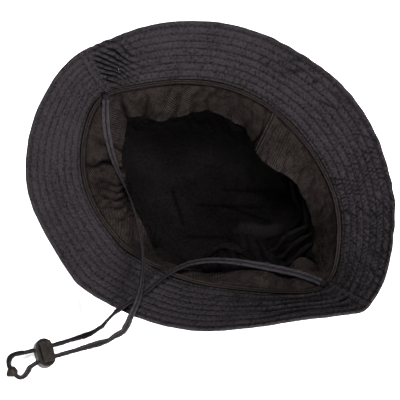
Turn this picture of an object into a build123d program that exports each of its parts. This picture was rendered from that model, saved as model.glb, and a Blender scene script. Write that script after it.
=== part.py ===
from build123d import *
import math
import os

# Soft bucket hat with a chin lace, lying on its crown with the opening up.
# Millimetres. Origin: middle of the hat's box, on the surface under the crown tip.
# +Z towards the opening, +X towards the side seam on the wearer's right, +Y towards the back.

os.makedirs("parts", exist_ok=True)

# ---------------------------------------------------------------- driving dimensions
CROWN_DEPTH = 88.0          # crown tip to brim seam
CROWN_TAPER = 16.0          # how far the tip's edge lies inside the brim seam
BRIM_RISE = 33.0            # brim edge above the brim seam, upside down
SIDE_SEAM_Y = 3.0           # plane of the two side seams

CLOTH = 0.8                 # shell fabric
STIFFENER = 0.5             # interlining inside the brim
LINING = 0.6
PLY_GAP = 0.15              # air between neighbouring plies

BAND_DROP = 22.0            # sweatband: drop of its free edge below the seam
BAND_REACH = 26.0           # sweatband: reach of its free edge into the opening
BAND_CLOTH = 1.0
BAND_SEAM_INSET = 2.0       # sewn edge of the band, inside the seam line

LACE = 3.2                  # bunched lace, as a round
LOCK_HEADING = 236.8        # compass of the two lace strands through the lock, degrees from +X
LOCK_LEAN = 20.0            # lean of the plunger towards the hat, degrees
LOCK_CENTRE = (-27.7, -174.5, 8.9)
STRAND_SPACING = 9.0
PRESS_TRAVEL = 2.5

# ---------------------------------------------------------------- outlines of the fabric
# Brim seam: a long oval that comes to a soft point at each side seam, anticlockwise.
SEAM = [
    (111, 3), (99, 31), (74, 57), (37, 74), (-4, 80), (-43, 72), (-77, 50), (-102, 22),
    (-114, -3), (-100, -37), (-70, -64), (-33, -75.5), (-8, -75), (28, -65), (64, -44), (96, -20),
]
# Brim edge, one point out from each seam point.
EDGE = [
    (143, 4), (131, 46), (99, 85), (52, 113), (0, 120), (-55, 108), (-102, 77), (-131, 34),
    (-143, -8), (-128, -58), (-92, -97), (-40, -118), (-10, -120), (38, -105), (80, -74), (118, -30),
]


def inset(points, distance):
    """Each point of an anticlockwise outline moved inwards, square to its two neighbours."""
    moved = []
    for i, (x, y) in enumerate(points):
        x0, y0 = points[i - 1]
        x1, y1 = points[(i + 1) % len(points)]
        run = math.hypot(x1 - x0, y1 - y0)
        moved.append((x - distance * (y1 - y0) / run, y + distance * (x1 - x0) / run))
    return moved


def between(inner, outer, share):
    """Outline a share of the way from one outline to the other."""
    return [
        (a + (c - a) * share, b + (d - b) * share)
        for (a, b), (c, d) in zip(inner, outer)
    ]


def outline_face(points, height):
    """Level face inside a smooth closed outline."""
    with BuildSketch(Plane.XY.offset(height)) as face:
        with BuildLine():
            Spline(*points, periodic=True)
        make_face()
    return face.sketch


def bowl(levels, mode=Mode.ADD):
    """Filled loft through closed outlines, each given as (points, height)."""
    loft(sections=[outline_face(points, height) for points, height in levels], mode=mode)


def upright(thickness, rise, run):
    """Height of a sloping ply of this thickness, measured straight up."""
    return thickness * math.hypot(rise, run) / run


def brim_level(share, lift):
    return between(SEAM, EDGE, share), CROWN_DEPTH + BRIM_RISE * share + lift


def crown_level(height, depth):
    """Crown wall outline at a height, moved in by a depth."""
    return inset(SEAM, CROWN_TAPER * (1 - height / CROWN_DEPTH) + depth), height


def band_level(share, lift):
    outline = inset(SEAM, BAND_SEAM_INSET + BAND_REACH * share)
    return outline, CROWN_DEPTH - BAND_DROP * share + lift


BRIM_RUN = 38.0             # usual level distance from seam to edge, for ply heights
OVERCUT = 0.05              # how far each cutting loft runs past the ply's ends


def brim_ply(lift, thickness):
    height = upright(thickness, BRIM_RISE, BRIM_RUN)
    bowl([brim_level(0, lift), brim_level(1, lift)])
    bowl([brim_level(-OVERCUT, lift + height), brim_level(1 + OVERCUT, lift + height)], Mode.SUBTRACT)


def crown_ply(bottom, top, depth, thickness):
    bowl([crown_level(bottom, depth), crown_level(top, depth)])
    bowl([crown_level(bottom - 1, depth + thickness), crown_level(top + 1, depth + thickness)], Mode.SUBTRACT)


side_seam = Plane.XZ.offset(-SIDE_SEAM_Y)
FRONT = Keep.TOP            # the plane's normal looks towards the front, -Y
BACK = Keep.BOTTOM


def finish(part, name):
    part.label = name
    export_step(part, f"parts/{name}.step")
    print(f"{name:24s} {len(part.solids())} solid  {part.volume:9.1f} mm3")


# ---------------------------------------------------------------- crown
with BuildPart() as crown_tip:
    with BuildSketch():
        with BuildLine():
            Spline(*crown_level(0, 0)[0], periodic=True)
        make_face()
    extrude(amount=CLOTH)
finish(crown_tip.part, "crown_tip")

CROWN_FOOT = CLOTH + PLY_GAP
CROWN_TOP = CROWN_DEPTH - PLY_GAP

with BuildPart() as crown_side_front:
    crown_ply(CROWN_FOOT, CROWN_TOP, 0, CLOTH)
    split(bisect_by=side_seam, keep=FRONT)
finish(crown_side_front.part, "crown_side_front")

with BuildPart() as crown_side_back:
    crown_ply(CROWN_FOOT, CROWN_TOP, 0, CLOTH)
    split(bisect_by=side_seam, keep=BACK)
finish(crown_side_back.part, "crown_side_back")

# ---------------------------------------------------------------- crown lining
LINING_DEPTH = CLOTH + PLY_GAP
LINING_FOOT = CROWN_FOOT + LINING + PLY_GAP
LINING_TOP = CROWN_DEPTH - 3.0

with BuildPart() as lining_tip:
    with BuildSketch(Plane.XY.offset(CROWN_FOOT)):
        with BuildLine():
            Spline(*crown_level(CROWN_FOOT, LINING_DEPTH + PLY_GAP)[0], periodic=True)
        make_face()
    extrude(amount=LINING)
finish(lining_tip.part, "lining_tip")

with BuildPart() as lining_side_front:
    crown_ply(LINING_FOOT, LINING_TOP, LINING_DEPTH, LINING)
    split(bisect_by=side_seam, keep=FRONT)
finish(lining_side_front.part, "lining_side_front")

with BuildPart() as lining_side_back:
    crown_ply(LINING_FOOT, LINING_TOP, LINING_DEPTH, LINING)
    split(bisect_by=side_seam, keep=BACK)
finish(lining_side_back.part, "lining_side_back")

# ---------------------------------------------------------------- brim, from its outside face inwards
UPPER_LIFT = 0.0
STIFFENER_LIFT = upright(CLOTH, BRIM_RISE, BRIM_RUN) + PLY_GAP
UNDER_LIFT = STIFFENER_LIFT + upright(STIFFENER, BRIM_RISE, BRIM_RUN) + PLY_GAP

with BuildPart() as brim_upper_front:
    brim_ply(UPPER_LIFT, CLOTH)
    split(bisect_by=side_seam, keep=FRONT)
finish(brim_upper_front.part, "brim_upper_front")

with BuildPart() as brim_upper_back:
    brim_ply(UPPER_LIFT, CLOTH)
    split(bisect_by=side_seam, keep=BACK)
finish(brim_upper_back.part, "brim_upper_back")

with BuildPart() as brim_interlining_front:
    brim_ply(STIFFENER_LIFT, STIFFENER)
    split(bisect_by=side_seam, keep=FRONT)
finish(brim_interlining_front.part, "brim_interlining_front")

with BuildPart() as brim_interlining_back:
    brim_ply(STIFFENER_LIFT, STIFFENER)
    split(bisect_by=side_seam, keep=BACK)
finish(brim_interlining_back.part, "brim_interlining_back")

with BuildPart() as brim_under_front:
    brim_ply(UNDER_LIFT, CLOTH)
    split(bisect_by=side_seam, keep=FRONT)
finish(brim_under_front.part, "brim_under_front")

with BuildPart() as brim_under_back:
    brim_ply(UNDER_LIFT, CLOTH)
    split(bisect_by=side_seam, keep=BACK)
finish(brim_under_back.part, "brim_under_back")

# ---------------------------------------------------------------- sweatband and seam trim
BAND_HEIGHT = upright(BAND_CLOTH, BAND_DROP, BAND_REACH)

with BuildPart() as sweatband:
    bowl([band_level(1, 0), band_level(0, 0)])
    bowl([band_level(1 + 2 * OVERCUT, BAND_HEIGHT), band_level(-2 * OVERCUT, BAND_HEIGHT)], Mode.SUBTRACT)
finish(sweatband.part, "sweatband")

PIPING_INSET = 2.3
PIPING_THICKNESS = 1.1
PIPING_FOOT = CROWN_DEPTH + 0.2
PIPING_HEIGHT = 3.2

with BuildPart() as seam_piping:
    with BuildSketch(Plane.XY.offset(PIPING_FOOT)):
        with BuildLine():
            Spline(*inset(SEAM, PIPING_INSET), periodic=True)
        make_face()
        with BuildLine():
            Spline(*inset(SEAM, PIPING_INSET + PIPING_THICKNESS), periodic=True)
        make_face(mode=Mode.SUBTRACT)
    extrude(amount=PIPING_HEIGHT)
finish(seam_piping.part, "seam_piping")

# The band's two ends meet at the back, under a strip of binding that follows the band's slope.
JOIN_X = 3.0
JOIN_TOP_Y = 74.6
JOIN_TOP_Z = CROWN_DEPTH + 0.4
JOIN_WIDTH = 5.0
JOIN_LENGTH = 30.0
JOIN_THICKNESS = 0.9
JOIN_CORNER = 0.6
band_slope = math.hypot(BAND_DROP, BAND_REACH)
join_plane = Plane(
    origin=(JOIN_X, JOIN_TOP_Y, JOIN_TOP_Z),
    x_dir=(0, -BAND_REACH / band_slope, -BAND_DROP / band_slope),
    z_dir=(0, -BAND_DROP / band_slope, BAND_REACH / band_slope),
)

with BuildPart() as sweatband_join_binding:
    with BuildSketch(join_plane):
        with Locations((JOIN_LENGTH / 2, 0)):
            RectangleRounded(JOIN_LENGTH, JOIN_WIDTH, JOIN_CORNER)
    extrude(amount=JOIN_THICKNESS)
finish(sweatband_join_binding.part, "sweatband_join_binding")

# ---------------------------------------------------------------- chin lace
heading = math.radians(LOCK_HEADING)
strand_dir = Vector(math.cos(heading), math.sin(heading), 0)        # from the hat to the loop
spacing_dir = Vector(-math.sin(heading), math.cos(heading), 0)
lean = math.radians(LOCK_LEAN)
press_axis = Vector(0, 0, math.cos(lean)) - strand_dir * math.sin(lean)
lock_centre = Vector(*LOCK_CENTRE)

# The two strands run straight and level through the lock.
STRAIGHT_HAT_SIDE = 38.0
STRAIGHT_LOOP_SIDE = 12.0
near = lock_centre + spacing_dir * (STRAND_SPACING / 2)
far = lock_centre - spacing_dir * (STRAND_SPACING / 2)

BEAD_CENTRE = Vector(-38.0, -201.7, 4.4)
BEAD_HEADING = -12.0        # the lace's way through the bead, degrees from +X
BEAD_STRAIGHT = 8.0
bead_angle = math.radians(BEAD_HEADING)
bead_dir = Vector(math.cos(bead_angle), math.sin(bead_angle), 0)

# Left side seam, along the sweatband, over the front of the brim, and down to the lock.
LEFT_STRAND = [
    (-109, 1.2, 94.2), (-101, -9.5, 87.5), (-88, -21, 82), (-73, -31, 79), (-56, -38.5, 78),
    (-39, -47, 80), (-22, -59, 86), (-6, -73, 97), (6, -87, 110), (14, -98.5, 123),
    (18, -108.5, 129.5), (20.5, -117, 129), (21.5, -122.5, 121), (19.5, -124.5, 104),
    (15.5, -127.5, 80), (11, -131.5, 55), (5, -137, 30),
]
# Lock to right side seam, up over the brim and under the left strand.
RIGHT_STRAND = [
    (-5.5, -135, 32), (-1, -131, 57), (3, -127.5, 83), (6, -125.5, 107), (8, -123.5, 122),
    (9, -118.5, 129), (11, -110.5, 127), (13, -100, 116), (14, -88, 107.3), (15.5, -71, 97),
    (20, -55, 88.5), (30, -41.5, 84), (45, -29.5, 83), (62, -19.5, 84), (79, -10.5, 87),
    (94, -3.5, 90), (106, -0.5, 93.4),
]
route = [Vector(*point) for point in LEFT_STRAND]
route += [near - strand_dir * STRAIGHT_HAT_SIDE, near + strand_dir * STRAIGHT_LOOP_SIDE]
route += [Vector(-27.5, -195.5, 6.0)]
route += [BEAD_CENTRE + bead_dir * BEAD_STRAIGHT, BEAD_CENTRE - bead_dir * BEAD_STRAIGHT]
route += [Vector(-47.5, -191.5, 6.2)]
route += [far + strand_dir * STRAIGHT_LOOP_SIDE, far - strand_dir * STRAIGHT_HAT_SIDE]
route += [Vector(*point) for point in RIGHT_STRAND]


def corner_radii(points):
    """Largest arc for each corner: 0.45 of the shorter run over the tangent of half the turn."""
    radii = []
    for a, b, c in zip(points, points[1:], points[2:]):
        before = b - a
        after = c - b
        half_turn = math.radians(before.get_angle(after)) / 2
        radii.append(0.45 * min(before.length, after.length) / math.tan(half_turn))
    return radii


radii = corner_radii(route)
with BuildPart() as chin_lace:
    with BuildLine() as lace_line:
        FilletPolyline(*route, radius=radii)
    with BuildSketch(Plane(origin=route[0], z_dir=route[1] - route[0])):
        Circle(LACE / 2)
    sweep()
finish(chin_lace.part, "chin_lace")

lace_length = lace_line.wires()[0].length
print("lace radii", [round(radius, 1) for radius in radii])
print("lace runs", [round((b - a).length, 1) for a, b in zip(route, route[1:])])
print("lace length", round(lace_length, 1), "volume / (section x length)",
      round(chin_lace.part.volume / (math.pi * LACE ** 2 / 4 * lace_length), 4))

# Bar tacks that hold the lace's ends at the side seams.
TACK_LENGTH = 4.0
TACK_WIDTH = 6.5
TACK_HEIGHT = 3.4
TACK_CORNER = 0.8


def tack(end, towards):
    """Stitched block whose inner face meets the end of the lace."""
    plane = Plane(origin=end, x_dir=(towards - end).cross(Vector(0, 0, 1)), z_dir=end - towards)
    with BuildSketch(plane) as face:
        RectangleRounded(TACK_WIDTH, TACK_HEIGHT, TACK_CORNER)
    extrude(face.sketch, amount=TACK_LENGTH)


with BuildPart() as lace_tack_left:
    tack(route[0], route[1])
finish(lace_tack_left.part, "lace_tack_left")

with BuildPart() as lace_tack_right:
    tack(route[-1], route[-2])
finish(lace_tack_right.part, "lace_tack_right")

# ---------------------------------------------------------------- cord lock
lock_plane = Plane(origin=lock_centre, x_dir=spacing_dir, z_dir=press_axis)
strand_plane = Plane(origin=lock_centre, x_dir=spacing_dir, z_dir=strand_dir)

LOCK_WIDTH = 23.0
LOCK_DEPTH = 14.0
LOCK_BOTTOM = -8.3
LOCK_RIM = 6.4
LOCK_BELLY = 5.0            # rounding under the body
LOCK_LIP = 1.0              # rounding of its rim
STRAND_HOLE = 4.2

STEM_WIDTH = 15.4
STEM_DEPTH = 5.4
STEM_FOOT = -3.8
HEAD_WIDTH = 16.8
HEAD_DEPTH = 8.6
HEAD_FOOT = 6.8
HEAD_TOP = 12.6
HEAD_CORNER = 1.2
SLIDE_GAP = 0.4             # clearance round the plunger
PRESSED_SPRING = 0.9        # room left for the spring when the plunger is pressed
CAVITY_FLOOR = STEM_FOOT - PRESS_TRAVEL - PRESSED_SPRING
SEAT_FLOOR = HEAD_FOOT - PRESS_TRAVEL - SLIDE_GAP

with BuildPart() as cord_lock_body:
    with BuildSketch(lock_plane.offset(LOCK_BOTTOM)):
        SlotOverall(LOCK_WIDTH, LOCK_DEPTH)
    extrude(amount=LOCK_RIM - LOCK_BOTTOM)
    rims = edges().filter_by(lambda edge: abs(edge.tangent_at(0).dot(press_axis)) < 0.01)
    rims = rims.sort_by(lambda edge: (edge.center() - lock_centre).dot(press_axis))
    fillet(rims[:4], LOCK_BELLY)
    fillet(rims[-4:], LOCK_LIP)
    with BuildSketch(lock_plane.offset(CAVITY_FLOOR)):
        SlotOverall(STEM_WIDTH + 2 * SLIDE_GAP, STEM_DEPTH + 2 * SLIDE_GAP)
    extrude(amount=LOCK_RIM - CAVITY_FLOOR, mode=Mode.SUBTRACT)
    with BuildSketch(lock_plane.offset(SEAT_FLOOR)):
        RectangleRounded(HEAD_WIDTH + 2 * SLIDE_GAP, HEAD_DEPTH + 2 * SLIDE_GAP, HEAD_CORNER + SLIDE_GAP)
    extrude(amount=LOCK_RIM - SEAT_FLOOR, mode=Mode.SUBTRACT)
    with BuildSketch(strand_plane):
        with Locations((-STRAND_SPACING / 2, 0), (STRAND_SPACING / 2, 0)):
            Circle(STRAND_HOLE / 2)
    extrude(amount=LOCK_DEPTH, both=True, mode=Mode.SUBTRACT)
finish(cord_lock_body.part, "cord_lock_body")

# The lower end of each slot nips the lace against the body; pressing the plunger frees it.
SLOT_BOTTOM = -2.0
SLOT_TOP = 4.4
GRIP_GROOVES = 3
GRIP_PITCH = 1.3
GRIP_DEPTH = 0.4

with BuildPart() as cord_lock_plunger:
    with BuildSketch(lock_plane.offset(STEM_FOOT)):
        SlotOverall(STEM_WIDTH, STEM_DEPTH)
    extrude(amount=HEAD_FOOT - STEM_FOOT)
    with BuildSketch(lock_plane.offset(HEAD_FOOT)):
        RectangleRounded(HEAD_WIDTH, HEAD_DEPTH, HEAD_CORNER)
    extrude(amount=HEAD_TOP - HEAD_FOOT)
    for groove in range(GRIP_GROOVES):
        with BuildSketch(lock_plane.offset(HEAD_TOP - GRIP_PITCH * (groove + 1))):
            RectangleRounded(HEAD_WIDTH + 1, HEAD_DEPTH + 1, HEAD_CORNER)
            RectangleRounded(
                HEAD_WIDTH - 2 * GRIP_DEPTH, HEAD_DEPTH - 2 * GRIP_DEPTH, HEAD_CORNER, mode=Mode.SUBTRACT
            )
        extrude(amount=GRIP_PITCH / 2, mode=Mode.SUBTRACT)
    with BuildSketch(strand_plane):
        for side in (-1, 1):
            with Locations((side * STRAND_SPACING / 2, (SLOT_BOTTOM + SLOT_TOP) / 2)):
                SlotOverall(SLOT_TOP - SLOT_BOTTOM, STRAND_HOLE, rotation=90)
    extrude(amount=LOCK_DEPTH, both=True, mode=Mode.SUBTRACT)
finish(cord_lock_plunger.part, "cord_lock_plunger")

SPRING_WIRE = 0.5
SPRING_RADIUS = 2.0
SPRING_TURNS = 2
SPRING_SLACK = 0.1          # air at each end
spring_rise = STEM_FOOT - CAVITY_FLOOR - SPRING_WIRE - 2 * SPRING_SLACK
spring_foot = lock_plane.offset(CAVITY_FLOOR + SPRING_WIRE / 2 + SPRING_SLACK)

with BuildPart() as cord_lock_spring:
    with BuildLine(spring_foot):
        coil = Helix(pitch=spring_rise / SPRING_TURNS, height=spring_rise, radius=SPRING_RADIUS)
    with BuildSketch(Plane(origin=coil @ 0, z_dir=coil % 0)):
        Circle(SPRING_WIRE / 2)
    sweep(path=coil, is_frenet=True)
finish(cord_lock_spring.part, "cord_lock_spring")

# ---------------------------------------------------------------- bead on the loop
BEAD_RADIUS = 4.3
BEAD_MOUTH = -3.9           # flat end towards the hat
BEAD_SHOULDER = 3.2         # where the ball gives way to the tip
BEAD_TIP = 5.6
BEAD_TIP_RADIUS = 1.0
BEAD_CLEARANCE = 0.15       # round the lace
bead_axis = Vector(bead_dir.Y, -bead_dir.X, 0)
bead_plane = Plane(origin=BEAD_CENTRE, x_dir=bead_axis, z_dir=(0, 0, 1))


def ball_point(along):
    """Point of the ball's outline, this far along the bead's axis."""
    return along, math.sqrt(BEAD_RADIUS ** 2 - along ** 2)


with BuildPart() as lace_bead:
    with BuildSketch(bead_plane):
        with BuildLine():
            Polyline((BEAD_MOUTH, 0), ball_point(BEAD_MOUTH))
            ThreePointArc(ball_point(BEAD_MOUTH), ball_point(0), ball_point(BEAD_SHOULDER))
            Polyline(ball_point(BEAD_SHOULDER), (BEAD_TIP, BEAD_TIP_RADIUS), (BEAD_TIP, 0), (BEAD_MOUTH, 0))
        make_face()
    revolve(axis=Axis(BEAD_CENTRE, bead_axis))
    with BuildSketch(Plane(origin=BEAD_CENTRE, z_dir=bead_dir)):
        Circle(LACE / 2 + BEAD_CLEARANCE)
    extrude(amount=2 * BEAD_RADIUS, both=True, mode=Mode.SUBTRACT)
finish(lace_bead.part, "lace_bead")
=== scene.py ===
import math

import bpy
import numpy as np
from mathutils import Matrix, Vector
from mathutils.kdtree import KDTree


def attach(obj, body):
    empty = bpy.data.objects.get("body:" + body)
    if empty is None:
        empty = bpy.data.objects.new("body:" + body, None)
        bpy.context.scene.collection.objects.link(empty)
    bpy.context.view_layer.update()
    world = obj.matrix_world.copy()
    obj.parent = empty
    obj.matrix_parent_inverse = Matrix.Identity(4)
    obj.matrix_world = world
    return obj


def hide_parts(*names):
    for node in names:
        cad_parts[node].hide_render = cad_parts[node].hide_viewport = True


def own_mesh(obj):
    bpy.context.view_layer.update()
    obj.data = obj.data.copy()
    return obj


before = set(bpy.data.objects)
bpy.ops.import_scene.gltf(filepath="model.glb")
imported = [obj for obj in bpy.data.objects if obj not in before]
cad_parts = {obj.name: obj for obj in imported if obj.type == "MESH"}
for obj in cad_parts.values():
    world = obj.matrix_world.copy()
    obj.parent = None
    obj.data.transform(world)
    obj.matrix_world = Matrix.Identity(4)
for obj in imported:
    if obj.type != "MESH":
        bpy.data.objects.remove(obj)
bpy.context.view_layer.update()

MM = 0.001
HAT, LOCK = "hat", "lock_body"

# ---------------------------------------------------------------- sizes, in millimetres
CROWN_DEPTH = 88.0
CROWN_TAPER = 16.0
BRIM_RISE = 33.0
BRIM_STACK = 3.2            # height of the whole brim stack above its outside face
LEFT_SEAM = 7.78            # place of the left side seam round the outlines; the right one is at 0

# Brim seam and brim edge, one point of each to a station, anticlockwise from the right side seam.
SEAM = [
    (111, 3), (99, 31), (74, 57), (37, 74), (-4, 80), (-43, 72), (-77, 50), (-102, 22),
    (-114, -3), (-100, -37), (-70, -64), (-33, -75.5), (-8, -75), (28, -65), (64, -44), (96, -20),
]
EDGE = [
    (143, 4), (131, 46), (99, 85), (52, 113), (0, 120), (-55, 108), (-102, 77), (-131, 34),
    (-143, -8), (-128, -58), (-92, -97), (-40, -118), (-10, -120), (38, -105), (80, -74), (118, -30),
]
STATIONS = len(SEAM)


# ---------------------------------------------------------------- curves and noise
def closed_curve(points, knots=None):
    """Smooth periodic curve through points; called with places measured in stations."""
    points = np.array(points, float)
    count = len(points)
    knots = np.arange(count, dtype=float) if knots is None else np.array(knots, float)
    steps = np.diff(np.append(knots, knots[0] + STATIONS))
    slopes = (np.roll(points, -1, 0) - points) / steps[:, None]
    matrix = np.zeros((count, count))
    for i in range(count):
        matrix[i, i - 1] += steps[i - 1]
        matrix[i, i] += 2 * (steps[i - 1] + steps[i])
        matrix[i, (i + 1) % count] += steps[i]
    bends = np.linalg.solve(matrix, 6 * (slopes - np.roll(slopes, 1, 0)))

    def at(places):
        places = (np.asarray(places, float) - knots[0]) % STATIONS + knots[0]
        i = np.clip(np.searchsorted(knots, places, "right") - 1, 0, count - 1)
        j = (i + 1) % count
        h = steps[i][..., None]
        b = ((places - knots[i]) / steps[i])[..., None]
        a = 1 - b
        return (a * points[i] + b * points[j]
                + ((a ** 3 - a) * bends[i] + (b ** 3 - b) * bends[j]) * h * h / 6)

    return at


def unit(vectors):
    return vectors / np.maximum(np.linalg.norm(vectors, axis=-1, keepdims=True), 1e-12)


def between(first, last, shares):
    """Grid of points from each point of one line to its fellow on another, at shares of the way."""
    return first[:, None] + (last - first)[:, None] * shares[:, None]


def raised(points, height):
    """Flat points as points in space, at one height."""
    return np.column_stack([points, np.full(len(points), height)])


def inset(points, distance):
    """Each point of an anticlockwise outline moved inwards, square to its two neighbours."""
    points = np.array(points, float)
    along = unit(np.roll(points, -1, 0) - np.roll(points, 1, 0))
    return points + np.stack([-along[:, 1], along[:, 0]], 1) * distance


seam_at = closed_curve(SEAM)
edge_at = closed_curve(EDGE)
tip_at = closed_curve(inset(SEAM, CROWN_TAPER))

NOISE_SIZE = 128
noise_table = np.random.default_rng(11).random((NOISE_SIZE, NOISE_SIZE))


def noise(x, y):
    """Smooth value noise from -1 to 1 with cells one unit wide, repeating every 128."""
    i, j = np.floor(x).astype(int), np.floor(y).astype(int)
    fx, fy = x - i, y - j
    fx, fy = fx * fx * (3 - 2 * fx), fy * fy * (3 - 2 * fy)
    i0, i1 = i % NOISE_SIZE, (i + 1) % NOISE_SIZE
    j0, j1 = j % NOISE_SIZE, (j + 1) % NOISE_SIZE
    low = noise_table[i0, j0] * (1 - fx) + noise_table[i1, j0] * fx
    high = noise_table[i0, j1] * (1 - fx) + noise_table[i1, j1] * fx
    return 2 * (low * (1 - fy) + high * fy) - 1


def around(places, centre, width):
    """Soft bump, 1 at a station and fading over a width in stations, round the closed outline."""
    gap = (np.asarray(places) - centre + STATIONS / 2) % STATIONS - STATIONS / 2
    return np.exp(-(gap / width) ** 2)


def bumps(places, *rows):
    """Sum of soft bumps round the outline: the height, station and width of each."""
    return sum(height * around(places, centre, width) for height, centre, width in rows)


def hump(values, centre, width):
    """Soft bump, 1 at a centre and fading over a width."""
    return np.exp(-((values - centre) / width) ** 2)


def even_places(start, stop, step, curve):
    """Places from start to stop whose points on a curve are about a step apart."""
    fine = np.linspace(start, stop, 4000)
    length = np.append(0, np.cumsum(np.linalg.norm(np.diff(curve(fine), axis=0), axis=1)))
    count = max(8, int(round(length[-1] / step)) + 1)
    targets = np.linspace(0, length[-1], count)
    return np.interp(targets, length, fine), targets


def normals_of(grid):
    """Unit normals of a grid of points, to the side of (second index) x (first index)."""
    return unit(np.cross(np.gradient(grid, axis=1), np.gradient(grid, axis=0)))


# ---------------------------------------------------------------- meshes
UP = np.array([0, 0, 1.0])
NEARLY_UP = np.array([0.03, 0.05, 1.0])     # never quite along a thread


def make_mesh(name, points, faces, uv=None, shade=1.0):
    """Mesh object from points in millimetres. Shade multiplies the cloth's colour as painted shade: it is
    low in creases.
    """
    points = np.reshape(points, (-1, 3))
    mesh = bpy.data.meshes.new(name)
    mesh.from_pydata((points * MM).tolist(), [], faces.tolist() if isinstance(faces, np.ndarray) else faces)
    if uv is not None:
        layer = mesh.uv_layers.new(name="UVMap")
        index = np.zeros(len(mesh.loops), np.int32)
        mesh.loops.foreach_get("vertex_index", index)
        layer.data.foreach_set("uv", np.reshape(uv, (-1, 2)).astype(np.float32)[index].ravel())
    values = np.ones(len(points), np.float32) * np.asarray(shade, np.float32).ravel()
    mesh.attributes.new("_SHADE", "FLOAT", "POINT").data.foreach_set("value", values)
    mesh.shade_smooth()
    mesh.update()
    piece = bpy.data.objects.new(name, mesh)
    bpy.context.scene.collection.objects.link(piece)
    return piece


def uv_grid(along, across):
    return np.stack(np.broadcast_arrays(along, across), -1)


def grid_faces(rows, columns, start=0, wrap=False, flip=False, ring=False):
    """Quads of a grid of points. Wrap joins its last row to the first, and ring its last column."""
    i = np.arange(rows if wrap else rows - 1)
    j = np.arange(columns if ring else columns - 1)
    i, j = np.meshgrid(i, j, indexing="ij")
    k, m = (i + 1) % rows, (j + 1) % columns
    quads = np.stack([i * columns + j, i * columns + m, k * columns + m, k * columns + j], -1)
    quads = quads.reshape(-1, 4) + start
    return quads[:, ::-1] if flip else quads


def rim_faces(first, second, size, flip=False):
    """Quads that join an edge of one grid to the same edge of the next, size points further on."""
    quads = np.stack([first, second, second + size, first + size], -1)
    return quads[:, ::-1] if flip else quads


def shell(name, top, bottom, uv, wrap=False, shade=1.0):
    """Closed shell between two grids of the same size; top is the side its normals_of face."""
    rows, columns = top.shape[:2]
    size = rows * columns
    faces = [grid_faces(rows, columns, 0, wrap), grid_faces(rows, columns, size, wrap, True)]
    i = np.arange(rows if wrap else rows - 1) * columns
    k = (i + columns) % size
    for column, flip in ((0, True), (columns - 1, False)):
        faces.append(rim_faces(i + column, k + column, size, flip))
    if not wrap:
        j = np.arange(columns - 1)
        for row, flip in ((0, False), (size - columns, True)):
            faces.append(rim_faces(row + j, row + j + 1, size, flip))
    shade = np.broadcast_to(shade, top.shape[:2])
    return make_mesh(name, np.stack([top, bottom]), np.concatenate(faces), np.stack([uv, uv]),
                     np.stack([shade, shade]))


def tubes(name, lines, sides, radii):
    """Closed tubes along many short lines. lines is (tubes, stations, 3); radii are the stations'."""
    count, stations = lines.shape[:2]
    tangent = unit(np.gradient(lines, axis=1))
    side = unit(np.cross(tangent, NEARLY_UP))
    other = np.cross(side, tangent)
    angles = np.linspace(0, 2 * math.pi, sides, endpoint=False)[:, None]
    ring = side[:, :, None, :] * np.cos(angles) + other[:, :, None, :] * np.sin(angles)
    points = lines[:, :, None, :] + ring * np.broadcast_to(radii, stations)[:, None, None]
    starts = np.arange(count) * stations * sides
    faces = (grid_faces(stations, sides, ring=True) + starts[:, None, None]).reshape(-1, 4).tolist()
    faces += [list(range(x + sides - 1, x - 1, -1)) for x in starts]
    faces += [list(range(x + (stations - 1) * sides, x + stations * sides)) for x in starts]
    return make_mesh(name, points, faces)


def sweep(name, line, side, lift, across, rise, uv, shade, closed=False):
    """Tube along a line. Each row of across and rise is a section, along side and lift."""
    lift = np.broadcast_to(lift, line.shape)
    points = line[:, None] + side[:, None] * across[..., None] + lift[:, None] * rise[..., None]
    rows, columns = points.shape[:2]
    faces = grid_faces(rows, columns, 0, closed, True, True).tolist()
    if not closed:
        faces.append(list(range(columns)))
        faces.append(list(range(rows * columns - 1, (rows - 1) * columns - 1, -1)))
    return make_mesh(name, points, faces, uv_grid(*uv), np.broadcast_to(shade, (rows, columns)))


# ---------------------------------------------------------------- materials
def new_material(name, colour, roughness, **sockets):
    material = bpy.data.materials.new(name)
    material.use_nodes = True
    shader = material.node_tree.nodes["Principled BSDF"]
    shader.inputs["Base Color"].default_value = (*colour, 1)
    shader.inputs["Roughness"].default_value = roughness
    for socket, value in sockets.items():
        shader.inputs[socket.replace("_", " ")].default_value = value
    return material, material.node_tree, shader


def add(tree, kind, **settings):
    node = tree.nodes.new(kind)
    for key, value in settings.items():
        if key in node.inputs:
            node.inputs[key].default_value = value
        else:
            setattr(node, key, value)
    return node


def noise_node(tree, scale, detail=3.0, roughness=0.6):
    place = add(tree, "ShaderNodeTexCoord")
    node = add(tree, "ShaderNodeTexNoise", Scale=scale, Detail=detail, Roughness=roughness)
    tree.links.new(place.outputs["Object"], node.inputs["Vector"])
    return node.outputs["Fac"]


def math_node(tree, operation, first, second):
    node = add(tree, "ShaderNodeMath", operation=operation)
    for socket, value in zip(node.inputs, (first, second)):
        if isinstance(value, (int, float)):
            socket.default_value = value
        else:
            tree.links.new(value, socket)
    return node.outputs[0]


def threads(tree, pitch, angle=0.0):
    """Height of a weave, from UVs in millimetres: two sets of crossing threads, or one slanting set."""
    place = add(tree, "ShaderNodeUVMap", uv_map="UVMap")
    turned = add(tree, "ShaderNodeMapping")
    turned.inputs["Rotation"].default_value = (0, 0, math.radians(angle))
    tree.links.new(place.outputs["UV"], turned.inputs["Vector"])
    sets = []
    for direction in ("X", "Y"):
        wave = add(tree, "ShaderNodeTexWave", bands_direction=direction, Scale=0.314 / pitch,
                   Distortion=1.2, Detail=1.0)
        tree.links.new(turned.outputs["Vector"], wave.inputs["Vector"])
        sets.append(wave.outputs["Fac"])
    return math_node(tree, "MAXIMUM", *sets) if angle == 0 else sets[0]


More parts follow.
